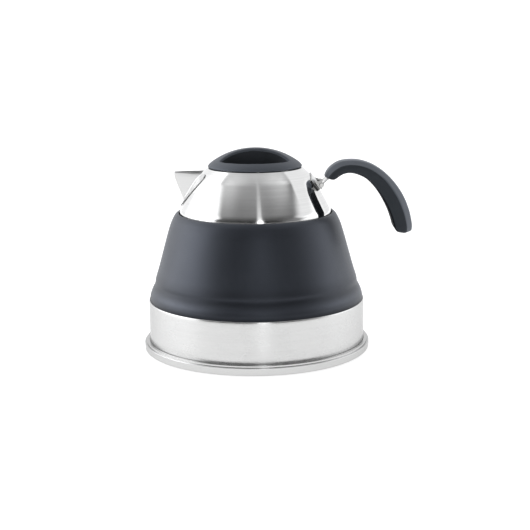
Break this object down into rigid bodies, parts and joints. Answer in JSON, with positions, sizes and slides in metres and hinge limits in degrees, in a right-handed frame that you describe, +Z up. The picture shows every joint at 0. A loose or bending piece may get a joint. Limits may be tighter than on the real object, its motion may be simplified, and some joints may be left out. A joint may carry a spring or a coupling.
{
  "type": "collapsible kettle",
  "caption": "Kettle with a steel pan and dome joined by a folding silicone wall, an open V spout, a lift-off lid with pinch grip and a hinged curved handle.",
  "frame": {"origin": "centre of the underside of the base, on the surface the kettle stands on", "axes": "+Z up, +X towards the handle, -X towards the spout"},
  "size_m": [0.2291, 0.193, 0.1716],
  "materials": {
    "steel_brushed": "fine brushed stainless steel, vertical highlights",
    "steel_polished": "polished stainless steel",
    "steel_plain": "plain rolled stainless steel",
    "aluminium_core": "plain aluminium",
    "silicone_slate": "matte slate-grey silicone",
    "silicone_seal": "translucent grey silicone",
    "nylon_black": "black moulded nylon"
  },
  "bodies": {
    "base": {"base_cap": "steel_plain", "base_core": "aluminium_core", "base_pan": "steel_brushed", "heat_ring": "steel_polished", "lower_clamp_ring": "steel_plain", "silicone_body": "silicone_slate"},
    "upper": {"dome_shell": "steel_brushed", "neck_collar": "steel_polished", "spout": "steel_polished", "upper_clamp_ring": "steel_plain", "handle_bracket": "steel_polished", "hinge_pin": "steel_plain", "hinge_pin_cap": "steel_plain"},
    "handle": {"handle_strap": "steel_polished", "grip_core_outer": "nylon_black", "grip_core_inner": "nylon_black", "grip_sleeve": "silicone_slate", "grip_rivet_front": "steel_plain", "grip_rivet_rear": "steel_plain"},
    "lid": {"lid_cover": "silicone_slate", "lid_core": "nylon_black", "lid_plug": "steel_polished", "lid_gasket": "silicone_seal", "lid_screw": "steel_plain"}
  },
  "joints": [
    {"name": "collapse_slide", "type": "slide", "parent": "base", "child": "upper", "axis": [0, 0, -1], "range_m": [0, 0.07], "deforming": ["silicone_body"]},
    {"name": "handle_fold", "type": "hinge", "parent": "upper", "child": "handle", "pos_m": [0.05545, 0, 0.1409], "axis": [0, -1, 0], "range_deg": [0, 60]},
    {"name": "lid_lift", "type": "slide", "parent": "upper", "child": "lid", "axis": [0, 0, 1], "range_m": [0, 0.06]}
  ]
}
